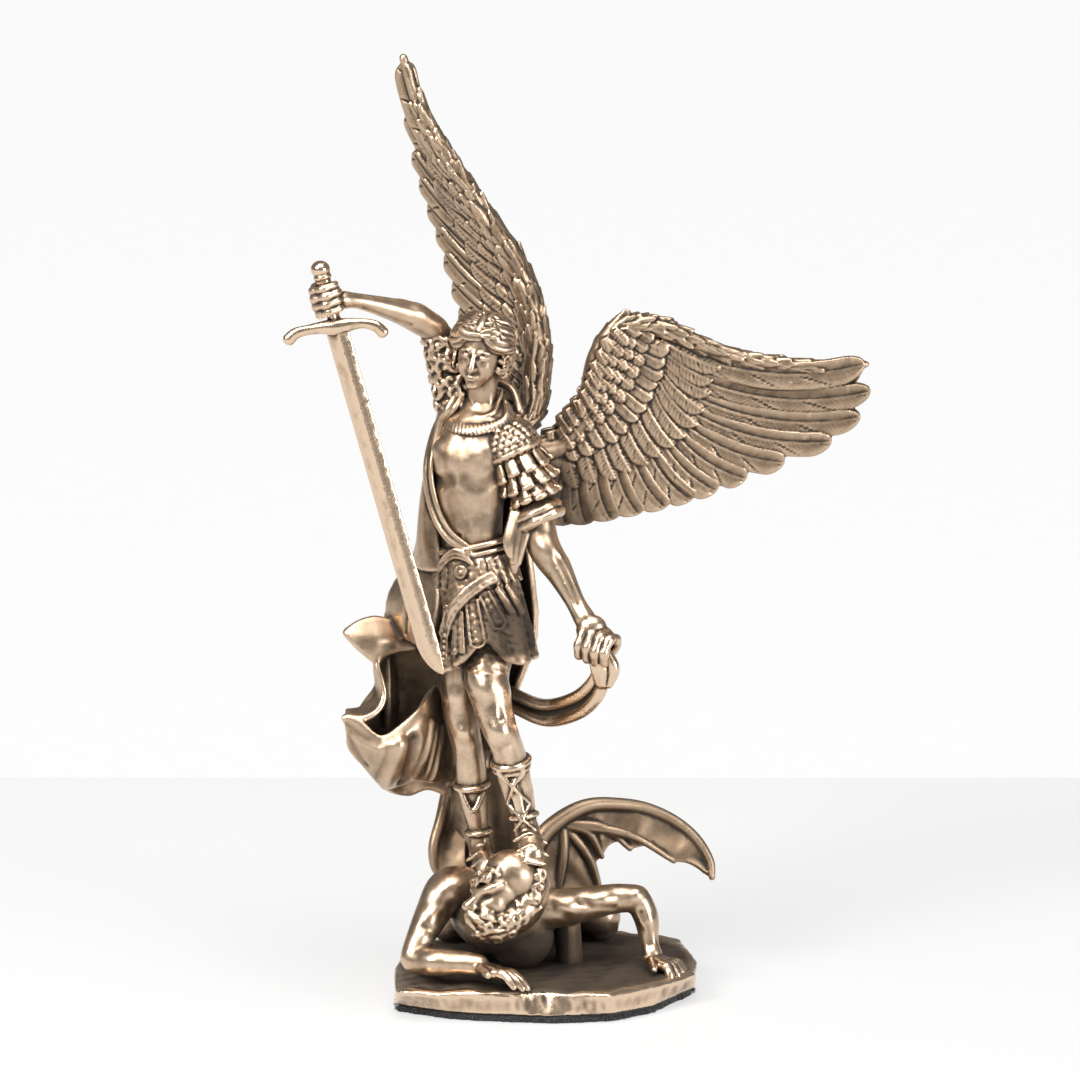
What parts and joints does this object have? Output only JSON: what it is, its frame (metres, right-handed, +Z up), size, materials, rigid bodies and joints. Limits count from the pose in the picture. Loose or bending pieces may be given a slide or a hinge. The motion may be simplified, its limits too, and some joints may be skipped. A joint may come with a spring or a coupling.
{
  "type": "archangel statue",
  "caption": "Bronze-finished figurine of a winged archangel with a raised sword, standing on a fallen bat-winged foe, on a rock-cut plinth with a black felt pad.",
  "frame": {"origin": "centre of the felt pad's underside, under the middle of the plinth", "axes": "+Z up, -Y towards the front, +X towards the spread wing"},
  "size_m": [0.0827, 0.0364, 0.1323],
  "materials": {
    "bronze": "aged bronze, dark in the hollows and bright on the ridges",
    "felt": "black felt"
  },
  "bodies": {
    "root": {"statue": "bronze", "felt_pad": "felt"}
  },
  "joints": []
}
